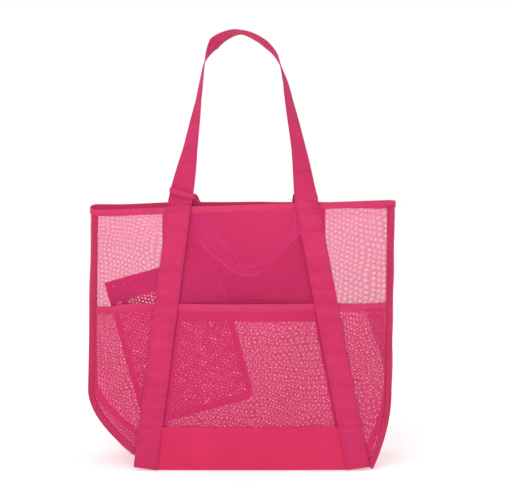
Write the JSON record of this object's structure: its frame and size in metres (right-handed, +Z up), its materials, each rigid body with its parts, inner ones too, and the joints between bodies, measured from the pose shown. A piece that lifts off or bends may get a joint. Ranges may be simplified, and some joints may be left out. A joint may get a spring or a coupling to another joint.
{
  "type": "mesh beach bag",
  "caption": "Open-top mesh beach bag with tapered side gussets, webbing handles and straps, front pockets, an inner pocket and a loose zip pouch.",
  "frame": {"origin": "on the ground, on the flat underside of the floor panel, below the middle of the bag's body", "axes": "+Z up, +X to the right seen from the front, +Y from the front panel to the rear panel"},
  "size_m": [0.5008, 0.1512, 0.6948],
  "materials": {
    "mesh_fabric": "open polyester mesh, half see-through",
    "cloth": "plain woven cloth, matt",
    "binding_tape": "ribbed binding tape, matt",
    "webbing": "flat woven webbing, soft sheen",
    "thread": "polyester thread, soft sheen",
    "pouch_lace": "holed mesh cloth, matt",
    "zip_plastic": "satin moulded plastic",
    "zip_metal": "painted die casting"
  },
  "bodies": {
    "bag": {"front_panel": "mesh_fabric", "rear_panel": "mesh_fabric", "gusset_left": "mesh_fabric", "gusset_right": "mesh_fabric", "front_pocket": "mesh_fabric", "floor_panel": "cloth", "front_bottom_band": "cloth", "inner_pocket": "cloth", "pocket_hem": "binding_tape", "rim_binding": "binding_tape", "seam_binding_front_left": "binding_tape", "seam_binding_front_right": "binding_tape", "seam_binding_rear_left": "binding_tape", "seam_binding_rear_right": "binding_tape", "strap_front_left": "webbing", "strap_front_right": "webbing", "strap_rear_left": "webbing", "strap_rear_right": "webbing", "box_stitch_front_left": "thread", "box_stitch_front_right": "thread", "box_stitch_rear_left": "thread", "box_stitch_rear_right": "thread", "rear_handle_return": "webbing", "rear_handle_end_left": "webbing", "rear_handle_end_right": "webbing"},
    "front_handle": {"front_handle": "webbing", "rear_handle_wrap": "webbing"},
    "rear_handle": {"rear_handle_drop": "webbing"},
    "pouch": {"pouch_border": "cloth", "pouch_front": "pouch_lace", "pouch_back": "pouch_lace", "zip_tape_lower": "binding_tape", "zip_tape_upper": "binding_tape", "zip_teeth": "zip_plastic"},
    "zip_slider": {"zip_slider": "zip_metal", "zip_bail": "zip_metal"},
    "zip_pull": {"zip_pull": "zip_metal"}
  },
  "joints": [
    {"name": "front_handle_fold", "type": "hinge", "parent": "bag", "child": "front_handle", "pos_m": [0, -0.0562, 0.428], "axis": [1, 0, 0], "range_deg": [-30, 40]},
    {"name": "rear_handle_sway", "type": "hinge", "parent": "bag", "child": "rear_handle", "pos_m": [0.1045, 0.0385, 0.43], "axis": [0.9038, 0.428, 0], "range_deg": [-12, 5]},
    {"name": "pouch_lift", "type": "slide", "parent": "bag", "child": "pouch", "axis": [0, 0, 1], "range_m": [0, 0.05]},
    {"name": "zip_slide", "type": "slide", "parent": "pouch", "child": "zip_slider", "axis": [0.9636, 0, 0.2672], "range_m": [0, 0.135]},
    {"name": "zip_pull_swing", "type": "hinge", "parent": "zip_slider", "child": "zip_pull", "pos_m": [-0.19742, 0.0058, 0.27352], "axis": [0.9636, 0, 0.2672], "range_deg": [-160, 0]}
  ]
}
